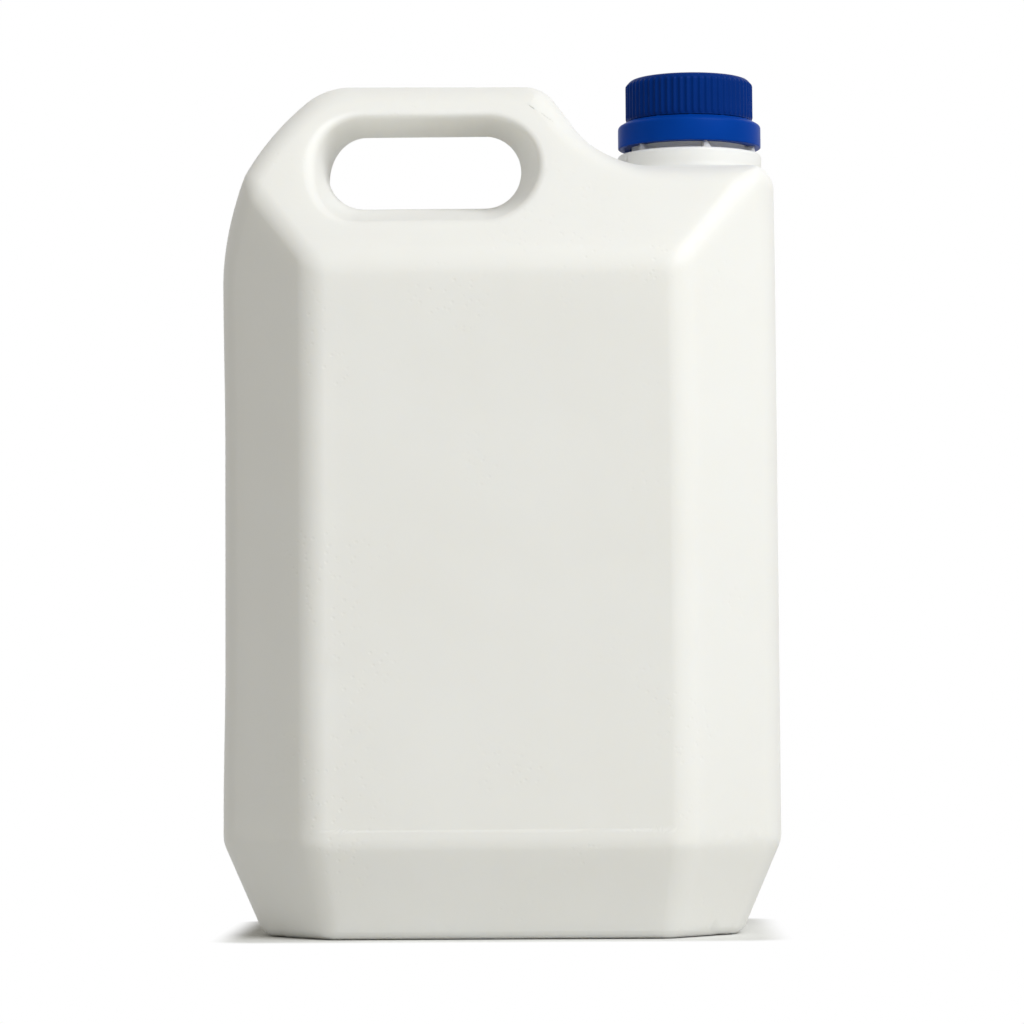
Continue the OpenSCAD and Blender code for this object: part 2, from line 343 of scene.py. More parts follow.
def gradient(field, x, y, z, step=0.02):
    """Unit outward normals of a field, from central differences."""
    normal = np.stack([field(x + step, y, z) - field(x - step, y, z),
                       field(x, y + step, z) - field(x, y - step, z),
                       field(x, y, z + step) - field(x, y, z - step)], axis=-1)
    return normal / np.maximum(np.linalg.norm(normal, axis=-1, keepdims=True), 1e-12)


def even_places(weights, count):
    """Places along each row at which the running sum of its weights goes up in equal steps."""
    total = np.concatenate([np.zeros((len(weights), 1)), np.cumsum(weights, axis=1)], axis=1)
    total = total / total[:, -1:]
    wanted = np.linspace(0, 1, count + 1)
    places = np.arange(total.shape[1], dtype=float)
    return np.stack([np.interp(wanted, row, places) for row in total])


def step_weights(points, normals, flat_step, turn_step):
    """Weight of each step along the rows: its length and turn, each over its own measure."""
    length = np.linalg.norm(np.diff(points, axis=1), axis=-1)
    cosine = np.sum(normals[:, 1:] * normals[:, :-1], axis=-1)
    return length / flat_step + np.arccos(np.clip(cosine, -1, 1)) / turn_step + 1e-4


class Skin:
    """Grid over the body's surface, closed both ways, because the body has one hole through it.

    Each row is a sheet: a curve in the middle plane from the grip hole's edge to the outline, swept
    along y. Rays in the sheet, from the middle of that curve, find the surface. Rows go round the
    hole and columns go round the section of the plastic.
    """

    rows, half_columns, rays = 380, 126, 420
    outline_rays, curve_points = 4096, 161
    flat_step, turn_step, label_pull = 6.0, math.radians(4.5), 3.0
    blend_rows, pair_blend = range(-4, 5), math.radians(9)
    edge_w, edge_pull, ramp_w, ramp_pull = 7.0, 0.8, 14.0, 0.8
    soften, leave, arrive_most = 50.0, 0.8, 45.0
    centre_z, far, past = 200.0, 320.0, 9.0
    # Outline direction from the centre in degrees, and place round the grip hole in millimetres
    pairs = ((-37.5, -13.0), (0.0, -10.0), (29.6, -7.0), (40.9, -4.0), (56.6, 2.0), (70.0, 10.5),
             (81.7, 21.0), (119.0, 60.0), (132.5, 70.0), (148.0, 79.0), (169.4, 86.0),
             (217.5, 93.0), (248.5, 104.0), (291.5, 134.0))

    def __init__(self, body):
        self.body = body

    def outline_points(self):
        """Directions, points and outward normals of the body's outline in the middle plane."""
        turn = np.linspace(0, FULL_TURN, self.outline_rays + 1)
        cos, sin = np.cos(turn), np.sin(turn)

        def point_at(distance):
            """Points in the middle plane at a distance from the centre."""
            return distance * cos, 0 * distance, self.centre_z + distance * sin

        x, y, z = point_at(solve_rays(point_at, self.body.solid, turn.shape, self.far))
        normal = gradient(self.body.solid, x, y, z)
        points = np.stack([x, y, z], axis=-1)
        weights = step_weights(points[None], normal[None], self.flat_step, self.turn_step)
        near_edge = np.exp(-((np.abs(x[1:]) - self.body.foot_edge) / self.edge_w) ** 2)
        near_edge = near_edge * (z[1:] < self.body.waist / 2)
        near_ramp = np.exp(-((x[1:] - self.body.ramp_x) / self.ramp_w) ** 4)
        near_ramp = near_ramp * (z[1:] > self.body.shoulder)
        pull = self.edge_pull * near_edge + self.ramp_pull * near_ramp
        weights = weights + pull * np.hypot(np.diff(x), np.diff(z))
        place = even_places(weights, self.rows)[0][:-1]
        index = np.arange(self.outline_rays + 1)
        facing = self.softened(points[:, [0, 2]], normal[:, [0, 2]])
        turn, x, z, facing = [np.interp(place, index, column) for column in (turn, x, z, facing)]
        return turn, np.stack([x, z], axis=-1), np.stack([np.cos(facing), np.sin(facing)], axis=-1)

    def softened(self, points, normal):
        """Angle of the outline's normal, averaged over a length of outline either side."""
        arc = np.concatenate([[0], np.cumsum(np.linalg.norm(np.diff(points, axis=0), axis=-1))])
        angle = np.unwrap(np.arctan2(normal[:, 1], normal[:, 0]))
        long_arc = np.concatenate([arc[:-1] - arc[-1], arc[:-1], arc + arc[-1]])
        long_angle = np.concatenate([angle[:-1] - FULL_TURN, angle[:-1], angle + FULL_TURN])
        middle = (long_angle[1:] + long_angle[:-1]) / 2
        total = np.concatenate([[0], np.cumsum(middle * np.diff(long_arc))])
        ahead = np.interp(arc + self.soften, long_arc, total)
        return (ahead - np.interp(arc - self.soften, long_arc, total)) / (2 * self.soften)

    def hole_points(self, turn):
        """Points and outward normals of the grip hole's outline, for each outline direction."""
        body = self.body
        keys, lengths = np.array(self.pairs).T
        keys = np.radians(keys)
        straight, arc = 2 * body.grip_half, math.pi * body.grip_r
        around = 2 * (straight + arc)
        keys = np.concatenate([keys - FULL_TURN, keys, keys + FULL_TURN])
        lengths = np.concatenate([lengths - around, lengths, lengths + around])
        spread = np.linspace(-1, 1, 61) * self.pair_blend
        place = np.mean([np.interp(turn + shift, keys, lengths) for shift in spread], axis=0)
        place = (place + arc / 2) % around
        on_ends = np.minimum(place, arc) + np.clip(place - arc - straight, 0, arc)
        on_top = np.clip(place - arc, 0, straight)
        on_bottom = np.clip(place - 2 * arc - straight, 0, straight)
        angle = on_ends / body.grip_r - math.pi / 2
        end = body.grip_half - on_top + on_bottom
        normal = np.stack([np.cos(angle), np.sin(angle)], axis=-1)
        middle = np.stack([body.grip_x + end, np.full_like(end, body.grip_z)], axis=-1)
        return middle + normal * body.grip_r, normal

    def sheet_curves(self):
        """Curves from the hole to the outline: cubics that leave and arrive square to both."""
        turn, outer, outer_normal = self.outline_points()
        inner, inner_normal = self.hole_points(turn)
        reach = np.linalg.norm(outer - inner, axis=-1)[:, None, None]
        leave, arrive = reach * self.leave, np.minimum(reach, self.arrive_most)
        t = np.linspace(0, 1, 4 * self.curve_points)[None, :, None]
        fine = (inner[:, None] * (2 * t ** 3 - 3 * t ** 2 + 1)
                + outer[:, None] * (3 * t ** 2 - 2 * t ** 3)
                + inner_normal[:, None] * leave * (t ** 3 - 2 * t ** 2 + t)
                + outer_normal[:, None] * arrive * (t ** 3 - t ** 2))
        step = np.linalg.norm(np.diff(fine, axis=1), axis=-1)
        place = even_places(step, self.curve_points - 1)
        low = np.minimum(place.astype(int), fine.shape[1] - 2)
        share = (place - low)[..., None]
        row = np.arange(self.rows)[:, None]
        return fine[row, low] * (1 - share) + fine[row, low + 1] * share, step.sum(axis=1)

    def points(self):
        """Surface points and normals of the front half, rows by columns."""
        curves, length = self.sheet_curves()
        row = np.arange(self.rows)[:, None]

        def on_sheet(along, y):
            """Points at a distance along each row's curve, carried straight on past its ends."""
            along = np.clip(along, -self.past, length[:, None] + self.past)
            place = along / length[:, None] * (self.curve_points - 1)
            low = np.clip(np.floor(place).astype(int), 0, self.curve_points - 2)
            share = (place - low)[..., None]
            point = curves[row, low] * (1 - share) + curves[row, low + 1] * share
            return point[..., 0], y, point[..., 1]

        def solve(turn):
            """Surface points in directions from 0 at the outline to half a turn at the hole."""
            cos, sin = np.cos(turn), np.sin(turn)

            def point_at(distance):
                """Points in the sheet at a distance from the middle of its curve."""
                return on_sheet(length[:, None] / 2 + distance * cos, -distance * sin)

            return np.stack(point_at(solve_rays(point_at, self.body.field, turn.shape, self.far)),
                            axis=-1)

        fan = np.broadcast_to(np.linspace(0, math.pi, self.rays + 1), (self.rows, self.rays + 1))
        step, self.body.label_step = self.body.label_step, 0.0
        for count in (self.rays, self.half_columns):
            points = solve(fan)
            normal = gradient(self.body.field, *np.moveaxis(points, -1, 0))
            weights = step_weights(points, normal, self.flat_step, self.turn_step)
            height = (points[:, 1:, 2] + points[:, :-1, 2]) / 2 - self.body.label_z
            climb = np.abs(np.diff(points[..., 2], axis=1))
            weights = weights + self.label_pull * climb * np.exp(-height ** 2)
            place = even_places(weights, count)
            index = np.arange(fan.shape[1])
            fan = np.stack([np.interp(place[i], index, fan[i]) for i in range(self.rows)])
            fan = np.mean([np.roll(fan, shift, axis=0) for shift in self.blend_rows], axis=0)
        self.body.label_step = step
        points = solve(fan)
        points[:, [0, -1], 1] = 0
        return points, gradient(self.body.field, *np.moveaxis(points, -1, 0))

    def build(self, name):
        """The closed grid: the front half, then its mirror image behind."""
        front, normal = self.points()
        flip = np.array([1, -1, 1])
        vertices = np.concatenate([front, front[:, -2:0:-1] * flip], axis=1)
        normals = np.concatenate([normal, normal[:, -2:0:-1] * flip], axis=1)
        faces = grid_quads(self.rows, vertices.shape[1], True)
        return build_mesh(name, vertices.reshape(-1, 3), faces, normals.reshape(-1, 3))


def thread_height(azimuths, heights, turn_shift):
    """Crest of a right-hand thread, 0 to 1, near a line that climbs one pitch a turn."""
    climb = (heights - THREAD_START) / THREAD_PITCH
    offset = climb - azimuths / FULL_TURN - turn_shift
    away = np.abs(offset - np.round(offset)) * THREAD_PITCH
    start = smooth_step(climb, THREAD_LEAD, THREAD_FADE)
    end = 1 - smooth_step(climb, THREAD_TURNS - THREAD_FADE, THREAD_TURNS)
    return start * end * (1 - smooth_step(away, THREAD_FLAT, THREAD_FOOT))


def arc_offset(azimuths, count, shift, radius):
    """Signed distance along the arc in mm from the nearest of count equal places round a circle."""
    spacing = FULL_TURN / count
    offset = azimuths - shift
    return (offset - spacing * np.round(offset / spacing)) * radius


def round_columns(count):
    """Azimuths of the columns of a turned piece, one row of them."""
    return (np.arange(count) / count * FULL_TURN)[None, :]


class Neck:
    """Neck finish: a collar that grows out of the shoulder, lugs, a bead, a thread and a lip.

    The first rows lie on the smooth union of the body and the collar. Rays from a ring inside the
    collar find it. The other rows are a turned section, closed under the shoulder.
    """

    columns, fan_rows, fan_rays = 432, 30, 160
    seam_fill, collar_round, reach_out = 2.6, 1.1, 3.2
    pivot_r, pivot_z, lowest_z = 12.0, 246.0, 245.6
    tuck, thread_h, thread_row, bore_end = 1.2, 1.25, 0.4, 9.0
    lug_h, lug_rise, lug_flat, lug_end, lug_rows = 2.2, 0.35, 0.9, 2.4, slice(1, 5)

    def __init__(self, body, sizes):
        self.body, self.x = body, sizes.neck_x / MM
        self.neck_r, self.bore_r = sizes.neck_r / MM, sizes.bore_r / MM
        self.stout_r, self.bead_r = sizes.stout_r / MM, sizes.bead_r / MM
        self.collar_r, self.collar_top = sizes.collar_r / MM, sizes.collar_top / MM
        self.top, self.lugs, self.lug_turn = sizes.neck_top / MM, sizes.lugs, sizes.lug_turn
        self.bore_z = body.shoulder - self.bore_end
        self.azimuths = round_columns(self.columns)

    def field(self, x, y, z):
        """The body and the collar, with a fillet between them."""
        collar = rounded(np.hypot(x - self.x, y) - self.collar_r, z - self.collar_top,
                         self.collar_round)
        return filleted(self.body.solid(x, y, z), collar, self.seam_fill)

    def collar_rows(self):
        """Radii and heights from just outside the fillet, up the collar and onto its top."""
        cos_a, sin_a = np.cos(self.azimuths).T, np.sin(self.azimuths).T

        def place(radius, height):
            """Points at a radius and a height, one row for each azimuth."""
            return self.x + radius * cos_a, radius * sin_a, height

        def solve(tilt):
            """Radii and heights where rays of that tilt leave the field."""
            cos, sin = np.cos(tilt), np.sin(tilt)

            def point_at(distance):
                """Points along the rays."""
                return place(self.pivot_r + distance * cos, self.pivot_z + distance * sin)

            distance = solve_rays(point_at, self.field, tilt.shape, 60.0)
            return self.pivot_r + distance * cos, self.pivot_z + distance * sin

        end = math.atan2(self.collar_top - self.pivot_z, self.collar_r - 1.4 - self.pivot_r)
        tilt = np.linspace(-0.2, end, self.fan_rays + 1)
        radius, height = solve(np.broadcast_to(tilt, (self.columns, self.fan_rays + 1)))
        outside = np.maximum(radius - self.collar_r - self.reach_out, self.lowest_z - height) > 0
        start = tilt[self.fan_rays - np.argmax(outside[:, ::-1], axis=1)]
        fan = start[:, None] + (end - start[:, None]) * np.linspace(0, 1, self.fan_rays + 1)
        radius, height = solve(fan)
        points = np.stack(place(radius, height), axis=-1)
        normal = gradient(self.field, *np.moveaxis(points, -1, 0))
        steps = even_places(step_weights(points, normal, 1.2, math.radians(7)), self.fan_rows)
        index = np.arange(self.fan_rays + 1)
        fan = np.stack([np.interp(steps[i], index, fan[i]) for i in range(self.columns)])
        radius, height = solve(fan)
        return radius.T, height.T

    def build(self, name):
        """The collar's rows, then the turned section up the neck, over the lip and down the bore."""
        radius, height = self.collar_rows()
        away = arc_offset(self.azimuths, self.lugs, -math.pi / 2 + self.lug_turn, self.collar_r)
        lug = np.clip((self.lug_end - away) / (self.lug_end - self.lug_flat), 0, 1)
        lug = lug * smooth_step(away, -self.lug_rise, 0)
        flat = self.collar_top
        section = [(self.collar_r - 1.5, flat), (self.collar_r - 1.6, flat + 0.1),
                   (self.stout_r + 1.0, flat), (self.stout_r + 0.3, flat + 0.1),
                   (self.stout_r, flat + 0.5), (self.stout_r, flat + 3.9),
                   (self.stout_r + 0.2, flat + 4.4), (self.bead_r - 0.2, flat + 4.5),
                   (self.bead_r, flat + 4.8), (self.bead_r, flat + 5.3),
                   (self.neck_r + 1.0, flat + 6.8), (self.neck_r + 0.2, flat + 7.0)]
        up_r, up_z = full_rows(section, self.azimuths)
        up_z[self.lug_rows] += self.lug_h * lug
        climb = np.arange(flat + 7.6, self.top - 0.9, self.thread_row)[:, None]
        thread_r = self.neck_r + self.thread_h * thread_height(self.azimuths, climb, 0.0)
        lip = [(self.neck_r, self.top - 0.7), (self.neck_r - 0.15, self.top - 0.25),
               (self.neck_r - 0.5, self.top), (self.bore_r + 0.4, self.top),
               (self.bore_r + 0.1, self.top - 0.15), (self.bore_r, self.top - 0.5),
               (self.bore_r, self.bore_z), (self.bore_r + 1.5, self.bore_z - 1)]
        lip_r, lip_z = full_rows(lip, self.azimuths)
        radii = np.concatenate([radius, up_r, thread_r, lip_r, radius[:1] - self.tuck])
        heights = np.concatenate([height, up_z, climb + 0 * self.azimuths, lip_z,
                                  height[:1] - self.tuck])
        return turned_piece(name, radii, heights, self.azimuths, self.x, True)


def full_rows(section, azimuths):
    """Radii and heights of a plain turned section, one row for each of its points."""
    places = np.array(section)
    return places[:, :1] + 0 * azimuths, places[:, 1:] + 0 * azimuths


def arc_points(centre_r, centre_z, radius, start, end, count):
    """Points of a section along an arc, from angle start to end in degrees."""
    turn = np.radians(np.linspace(start, end, count))
    return list(zip(centre_r + radius * np.cos(turn), centre_z + radius * np.sin(turn)))


def tamper_ring(name, sizes):
    """Ring under the cap: a bevelled band with an inner lip and the stubs of broken bridges.

    The section is a band whose top slopes up to the cap. A stub is a bump on the top's inner edge.
    """
    spare, band, gap, bevel, drop, soft, stub_h = 0.3, 2.7, 0.35, 0.35, 0.9, 1.5, 0.35
    low, high, outer = RING_LOW[2], RING_HIGH[2], (RING_HIGH[0] - RING_LOW[0]) / 2 + spare
    inner, lip = outer - band, sizes.stout_r / MM + gap
    azimuths = round_columns(480)
    section = arc_points(outer - bevel, low + bevel, bevel, -90, 0, 4)
    section += arc_points(outer - soft, high - drop - soft, soft, 0, 64, 10)
    section += [(inner + 0.5, high - 0.25), (inner + 0.25, high - 0.12), (inner + 0.1, high - 0.12),
                (inner, high - 0.3), (inner, low + 2.3), (inner - 0.3, low + 1.9),
                (lip + 0.2, low + 1.7), (lip, low + 1.4), (lip, low + 0.4), (lip + 0.3, low)]
    radius, height = full_rows(section, azimuths)
    away = np.abs(arc_offset(azimuths, sizes.bridges, -math.pi / 2, outer))
    stub = 1 - smooth_step(away, 0.45, 0.7)
    near = (height > high - 0.3) & (radius < inner + 0.4)
    height = np.where(near, np.minimum(height + stub_h * stub, high), height)
    return turned_piece(name, radius, height, azimuths, sizes.neck_x / MM, True)


def screw_cap(name, sizes):
    """Cap: round ribs on the outside that fade under the rounded top, and a thread inside.

    A rib's height round the cap is a raised cosine to a power above one, which gives narrow crests
    and wide grooves. The ribs run some way up the rounded edge.
    """
    spare, skirt, edge, rib, rib_power = 0.4, 2.1, 2.6, sizes.rib_h / MM, 1.6
    thread_depth, thread_row = 1.2, 0.4
    low, high, outer = CAP_LOW[2], CAP_HIGH[2], (CAP_HIGH[0] - CAP_LOW[0]) / 2 + spare
    azimuths = round_columns(720)
    wave = (0.5 + 0.5 * np.cos(azimuths * sizes.ribs + math.pi)) ** rib_power
    groove = outer - rib
    wall = np.concatenate([[low + 0.3, low + 0.7], np.linspace(low + 1.2, high - edge, 14)])[:, None]
    skirt_r = groove + rib * wave * smooth_step(wall, low + 0.2, low + 1.1)
    rounding = arc_points(groove - edge, high - edge, edge, 4, 90, 20)
    dome_r, dome_z = full_rows(rounding, azimuths)
    dome_r = dome_r + rib * wave * (1 - smooth_step((dome_z - high) / edge + 1, 0.15, 0.6))
    crown = [(16.0, high), (15.0, high), (14.6, high - 0.2), (14.0, high - 0.25),
             (8.0, high - 0.25), (2.2, high - 0.25), (1.8, high - 0.45), (0.8, high - 0.5),
             (0.0, high - 0.5)]
    inner, ceiling = outer - skirt, LINER_HIGH[2]
    under = [(0.0, ceiling), (6.0, ceiling), (13.0, ceiling), (inner - 0.5, ceiling),
             (inner - 0.1, ceiling - 0.15), (inner, ceiling - 0.5)]
    climb = np.arange(ceiling - 1.2, low + 1.0, -thread_row)[:, None]
    hollow = inner - thread_depth * thread_height(azimuths, climb, 0.5)
    rim = [(inner, low + 0.5), (inner + 0.3, low + 0.1), (inner + 0.5, low),
           (outer - 0.6, low), (outer - 0.35, low + 0.1)]
    parts = [full_rows(under, azimuths), (hollow, climb + 0 * azimuths), full_rows(rim, azimuths),
             (skirt_r, wall + 0 * azimuths), (dome_r, dome_z), full_rows(crown, azimuths)]
    radius = np.concatenate([part[0] for part in parts])
    height = np.concatenate([part[1] for part in parts])
    return turned_piece(name, radius, height, azimuths, sizes.neck_x / MM, False)


def cap_liner(name, sizes):
    """Sealing disc: a flat turned disc with soft edges and the shallow print of the neck's lip."""
    low, high, outer = LINER_LOW[2], LINER_HIGH[2], (LINER_HIGH[0] - LINER_LOW[0]) / 2
    bore, neck, print_h = sizes.bore_r / MM, sizes.neck_r / MM, 0.12
    azimuths = round_columns(192)
    section = [(0.0, high), (6.0, high), (12.0, high), (outer - 0.4, high),
               (outer - 0.1, high - 0.15), (outer, high - 0.4), (outer, low + 0.4),
               (outer - 0.1, low + 0.15), (outer - 0.4, low), (neck + 0.3, low),
               (neck - 0.1, low + print_h), (bore + 0.3, low + print_h), (bore - 0.1, low),
               (12.0, low), (6.0, low), (0.0, low)]
    radius, height = full_rows(section, azimuths)
    return turned_piece(name, radius, height, azimuths, sizes.neck_x / MM, False)


def add_node(tree, kind, inputs=None, **settings):
    """Adds a node, sets its attributes, then sets or links each named or numbered input."""
    node = tree.nodes.new(kind)
    for key, value in settings.items():
        setattr(node, key, value)
    for key, value in (inputs or {}).items():
        if isinstance(value, bpy.types.NodeSocket):
            tree.links.new(value, node.inputs[key])
        else:
            node.inputs[key].default_value = value
    return node


def start_material(name):
    """An empty node material and its tree."""
    material = bpy.data.materials.new(name)
    material.use_nodes = True
    material.node_tree.nodes.clear()
    return material, material.node_tree


def object_place(tree):
    """Object coordinates, which stay with the piece."""
    return add_node(tree, "ShaderNodeTexCoord").outputs["Object"]


def per_mm(size):
    """Scale of a texture whose features are about size millimetres apart."""
    return 1 / (size * MM)


def noise(tree, place, size, detail=2.0, roughness=0.5):
    """Noise from 0 to 1 with features about size millimetres apart."""
    return add_node(tree, "ShaderNodeTexNoise", {
        "Vector": place, "Scale": per_mm(size), "Detail": detail,
        "Roughness": roughness}).outputs["Fac"]


def cells(tree, place, size):
    """Distance from the middle of cells about size millimetres apart."""
    return add_node(tree, "ShaderNodeTexVoronoi", {
        "Vector": place, "Scale": per_mm(size)}).outputs["Distance"]


def spread_range(tree, value, low, high):
    """A value from 0 to 1 spread evenly between low and high."""
    return add_node(tree, "ShaderNodeMapRange", {
        "Value": value, "To Min": low, "To Max": high}).outputs["Result"]


def soft_range(tree, value, low, high):
    """0 below low and 1 above high, with a soft ramp between."""
    return add_node(tree, "ShaderNodeMapRange", {
        "Value": value, "From Min": low, "From Max": high},
        interpolation_type="SMOOTHSTEP").outputs["Result"]


def raised(tree, height, strength, depth, normal=None):
    """Normal bumped by a height that stands for depth in millimetres."""
    inputs = {"Height": height, "Strength": strength, "Distance": depth * MM}
    if normal is not None:
        inputs["Normal"] = normal
    return add_node(tree, "ShaderNodeBump", inputs).outputs["Normal"]


def surface(tree, shader):
    """Sends a shader to the material's output."""
    add_node(tree, "ShaderNodeOutputMaterial", {"Surface": shader})


def blown_polyethylene(colours):
    """Natural HDPE, blown: milky, lets a little light in, a soft sheen over fine orange peel."""
    material, tree = start_material("blown natural HDPE")
    place = object_place(tree)
    tint = add_node(tree, "ShaderNodeMix", {
        0: noise(tree, place, 60), 6: (*colours.body, 1), 7: (*colours.body_warm, 1)},
        data_type="RGBA")
    peel = noise(tree, place, 1.6, roughness=0.55)
    pits = soft_range(tree, cells(tree, place, 2.6), 0.08, 0.3)
    patches = soft_range(tree, noise(tree, place, 34), 0.52, 0.66)
    wavy = raised(tree, noise(tree, place, 22, detail=1.0), 0.35, 0.8)
    grained = raised(tree, peel, 0.3, 0.05, wavy)
    shader = add_node(tree, "ShaderNodeBsdfPrincipled", {
        "Base Color": tint.outputs[2], "Roughness": spread_range(tree, peel, 0.38, 0.5),
        "IOR": 1.54, "Specular IOR Level": 0.3,
        "Subsurface Weight": 0.6, "Subsurface Radius": (1.0, 0.95, 0.85),
        "Subsurface Scale": 8 * MM, "Normal": raised(tree, pits, patches, 0.06, grained)})
    surface(tree, shader.outputs["BSDF"])
    return material


def closure_plastic(name, colour, roughness):
    """Injection-moulded polyethylene: deep even blue, a satin sheen and a faint moulded grain. The blue
    passed in carries painted light: darker on the cap as painted rib shade, lighter on the ring as
    painted reflection.
    """
    material, tree = start_material(name)
    place = object_place(tree)
    grain = noise(tree, place, 0.9, roughness=0.6)
    shade = spread_range(tree, noise(tree, place, 14, detail=1.0), 0.88, 1.12)
    tint = add_node(tree, "ShaderNodeVectorMath", {
        0: tuple(colour), "Scale": shade}, operation="SCALE")
    shader = add_node(tree, "ShaderNodeBsdfPrincipled", {
        "Base Color": tint.outputs["Vector"],
        "Roughness": spread_range(tree, grain, roughness - 0.05, roughness + 0.05),
        "IOR": 1.52, "Specular IOR Level": 0.03, "Normal": raised(tree, grain, 0.25, 0.03)})
    surface(tree, shader.outputs["BSDF"])
    return material


def liner_foam(colours):
    """Foamed polyethylene disc: matt white with fine closed cells."""
    material, tree = start_material("foamed LDPE disc")
    shader = add_node(tree, "ShaderNodeBsdfPrincipled", {
        "Base Color": (*colours.foam, 1), "Roughness": 0.75, "IOR": 1.5,
        "Normal": raised(tree, cells(tree, object_place(tree), 0.7), 0.5, 0.05)})
    surface(tree, shader.outputs["BSDF"])
    return material


def background_rays(tree):
    """1 for rays that should see the plain white background: camera, glossy and transmission rays."""
    path = add_node(tree, "ShaderNodeLightPath")
    seen = add_node(tree, "ShaderNodeMath", {
        0: path.outputs["Is Camera Ray"], 1: path.outputs["Is Glossy Ray"]}, operation="MAXIMUM")
    return add_node(tree, "ShaderNodeMath", {
        0: seen.outputs[0], 1: path.outputs["Is Transmission Ray"]}, operation="MAXIMUM").outputs[0]


def studio_floor(colours, half_base, fade):
    """Pale painted floor: plain white where seen, but it keeps the shadow close to the base."""
    material, tree = start_material("pale painted floor")
    place = object_place(tree)
    spread = add_node(tree, "ShaderNodeVectorMath", {0: place}, operation="ABSOLUTE")
    past = add_node(tree, "ShaderNodeVectorMath", {
        0: spread.outputs[0], 1: half_base}, operation="SUBTRACT")
    kept = add_node(tree, "ShaderNodeVectorMath", {0: past.outputs[0]}, operation="MAXIMUM")
    away = add_node(tree, "ShaderNodeVectorMath", {0: kept.outputs[0]}, operation="LENGTH")
    clear = soft_range(tree, away.outputs["Value"], *fade)
    white = add_node(tree, "ShaderNodeMath", {
        0: clear, 1: background_rays(tree)}, operation="MULTIPLY")
    matt = add_node(tree, "ShaderNodeBsdfDiffuse", {"Color": (*colours.floor, 1)})
    plain = add_node(tree, "ShaderNodeEmission", {"Color": (1, 1, 1, 1), "Strength": 1.0})
    mixed = add_node(tree, "ShaderNodeMixShader", {
        0: white.outputs[0], 1: matt.outputs[0], 2: plain.outputs[0]})
    surface(tree, mixed.outputs[0])
    return material


def fit_material(piece, material):
    """Gives a piece its one material."""
    piece.data.materials.clear()
    piece.data.materials.append(material)


class CANISTER_OT_blow_body(bpy.types.Operator):
    """Builds the blown body and its neck."""

    bl_idname = "canister.blow_body"
    bl_label = "Blow body and neck"

    def execute(self, context):
        scene = context.scene
        body = Body(scene.canister_body)
        material = blown_polyethylene(scene.canister_colours)
        skin = Skin(body).build("blown_body")
        neck = Neck(body, scene.canister_closure).build("neck_finish")
        for piece in (skin, neck):
            fit_material(piece, material)
            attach(piece, "canister")
            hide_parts("canister")
        return {"FINISHED"}


class CANISTER_OT_mould_ring(bpy.types.Operator):
    """Builds the tamper ring that stays on the neck."""

    bl_idname = "canister.mould_ring"
    bl_label = "Mould tamper ring"

    def execute(self, context):
        scene = context.scene
        ring = tamper_ring("tamper_band", scene.canister_closure)
        # The ring's lighter blue is painted reflection of the white neck below it.
        material = closure_plastic("injection-moulded PE, ring, blue with painted reflection", scene.canister_colours.ring, 0.36)
        fit_material(ring, material)
        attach(ring, "canister")
        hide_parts("tamper_ring")
        return {"FINISHED"}


class CANISTER_OT_mould_cap(bpy.types.Operator):
    """Builds the ribbed cap and its sealing disc."""

    bl_idname = "canister.mould_cap"
    bl_label = "Mould cap and cut liner"

    def execute(self, context):
        scene = context.scene
        cap = screw_cap("ribbed_cap", scene.canister_closure)
        # The cap's darker blue is painted shade between its ribs.
        material = closure_plastic("injection-moulded PE, cap, blue with painted rib shade", scene.canister_colours.cap, 0.4)
        fit_material(cap, material)
        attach(cap, "cap")
        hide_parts("screw_cap")
        liner = cap_liner("sealing_disc", scene.canister_closure)
        fit_material(liner, liner_foam(scene.canister_colours))
        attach(liner, "liner")
        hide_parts("cap_liner")
        return {"FINISHED"}


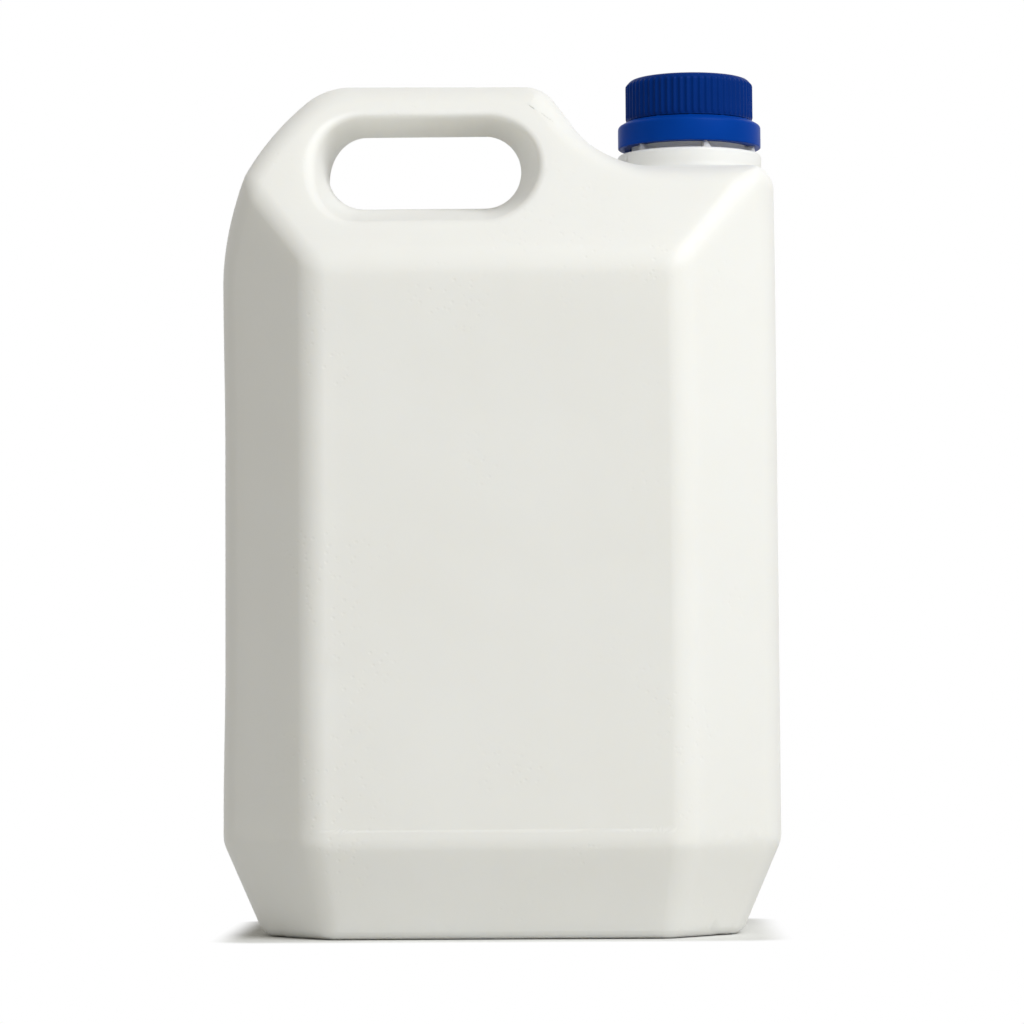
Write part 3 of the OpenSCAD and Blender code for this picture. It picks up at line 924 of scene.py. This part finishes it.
class CANISTER_OT_set_stage(bpy.types.Operator):
    """Sets the floor, the soft lamp, the surroundings and the camera."""

    bl_idname = "canister.set_stage"
    bl_label = "Set stage"

    floor_half, floor_drop, floor_fade = 6.0, 0.0001, (0.004, 0.016)
    ambient = 0.35
    ambient_tint, key_tint = "#FFFCF3", "#FBFDFF"
    key_power, key_size, key_distance = 40.5, 1.3, 2.3
    key_way = Vector((0.5, -0.61, 0.64))
    camera_place = Vector((31.424, -1307.733, 77.493)) * MM
    yaw, pitch, roll = math.radians(1.221), math.radians(4.264), math.radians(-0.357)
    lens, sensor, shift_up = 137.02, 36.0, -0.1035

    def add_floor(self, scene):
        """A large level sheet, of which only the upper face is seen."""
        half, under = self.floor_half, -self.floor_drop
        mesh = bpy.data.meshes.new("floor")
        mesh.from_pydata([(-half, -half, under), (half, -half, under), (half, half, under),
                          (-half, half, under)], [], [(0, 1, 2, 3)])
        floor = bpy.data.objects.new("floor", mesh)
        scene.collection.objects.link(floor)
        body = Body(scene.canister_body)
        inset = body.foot_inset
        half_base = ((body.side - inset) * MM, (body.front - inset) * MM, self.floor_half)
        floor.data.materials.append(studio_floor(scene.canister_colours, half_base, self.floor_fade))

    def add_world(self, scene):
        """Even ambient light, and plain white where the background is seen."""
        world = bpy.data.worlds.new("studio surroundings")
        scene.world = world
        world.use_nodes = True
        tree = world.node_tree
        tree.nodes.clear()
        seen = background_rays(tree)
        strength = spread_range(tree, seen, self.ambient, 1.0)
        tint = add_node(tree, "ShaderNodeMix", {
            0: seen, 6: (*linear(self.ambient_tint), 1), 7: (1, 1, 1, 1)}, data_type="RGBA")
        background = add_node(tree, "ShaderNodeBackground", {
            "Color": tint.outputs[2], "Strength": strength})
        add_node(tree, "ShaderNodeOutputWorld", {"Surface": background.outputs[0]})

    def add_lamp(self, scene):
        """A square soft lamp that faces the middle of the object."""
        target = Vector((0, 0, CANISTER_HIGH[2] * MM / 2))
        lamp = bpy.data.lights.new("key lamp", "AREA")
        lamp.energy, lamp.size, lamp.color = self.key_power, self.key_size, linear(self.key_tint)
        holder = bpy.data.objects.new("key lamp", lamp)
        holder.location = target + self.key_way.normalized() * self.key_distance
        holder.rotation_euler = self.key_way.to_track_quat("Z", "Y").to_euler()
        scene.collection.objects.link(holder)

    def add_camera(self, scene):
        """Camera at the picture's view: forward, right and up from yaw, pitch and roll."""
        forward = Vector((-math.sin(self.yaw) * math.cos(self.pitch),
                          math.cos(self.yaw) * math.cos(self.pitch), math.sin(self.pitch)))
        level = Vector((math.cos(self.yaw), math.sin(self.yaw), 0))
        upright = level.cross(forward)
        right = level * math.cos(self.roll) + upright * math.sin(self.roll)
        up = upright * math.cos(self.roll) - level * math.sin(self.roll)
        data = bpy.data.cameras.new("camera")
        data.lens, data.sensor_width, data.shift_y = self.lens, self.sensor, self.shift_up
        camera = bpy.data.objects.new("camera", data)
        turn = Matrix((right, up, -forward)).transposed().to_4x4()
        camera.matrix_world = Matrix.Translation(self.camera_place) @ turn
        scene.collection.objects.link(camera)
        scene.camera = camera

    def execute(self, context):
        scene = context.scene
        scene.view_settings.view_transform = "Standard"
        self.add_floor(scene)
        self.add_world(scene)
        self.add_lamp(scene)
        self.add_camera(scene)
        return {"FINISHED"}


class CANISTER_PT_panel(bpy.types.Panel):
    """Sizes, colours and building steps of the canister."""

    bl_idname = "CANISTER_PT_panel"
    bl_label = "Canister"
    bl_space_type = "VIEW_3D"
    bl_region_type = "UI"
    bl_category = "Canister"

    def draw(self, context):
        scene = context.scene
        for group in (scene.canister_body, scene.canister_closure, scene.canister_colours):
            for name in group.__annotations__:
                self.layout.prop(group, name)
        for step in OPERATORS:
            self.layout.operator(step.bl_idname)


GROUPS = (("canister_body", BodySizes), ("canister_closure", ClosureSizes),
          ("canister_colours", FinishColours))
OPERATORS = (CANISTER_OT_blow_body, CANISTER_OT_mould_ring, CANISTER_OT_mould_cap,
             CANISTER_OT_set_stage)


def register():
    """Registers the classes and hangs the settings on the scene."""
    for name, group in GROUPS:
        bpy.utils.register_class(group)
        setattr(bpy.types.Scene, name, bpy.props.PointerProperty(type=group))
    for step in OPERATORS:
        bpy.utils.register_class(step)
    bpy.utils.register_class(CANISTER_PT_panel)


def unregister():
    """Takes the classes and the settings away again."""
    bpy.utils.unregister_class(CANISTER_PT_panel)
    for step in reversed(OPERATORS):
        bpy.utils.unregister_class(step)
    for name, group in reversed(GROUPS):
        delattr(bpy.types.Scene, name)
        bpy.utils.unregister_class(group)


def main():
    """Builds every piece and the stage."""
    register()
    bpy.ops.canister.set_stage()
    bpy.ops.canister.blow_body()
    bpy.ops.canister.mould_ring()
    bpy.ops.canister.mould_cap()


if __name__ == "__main__":
    main()
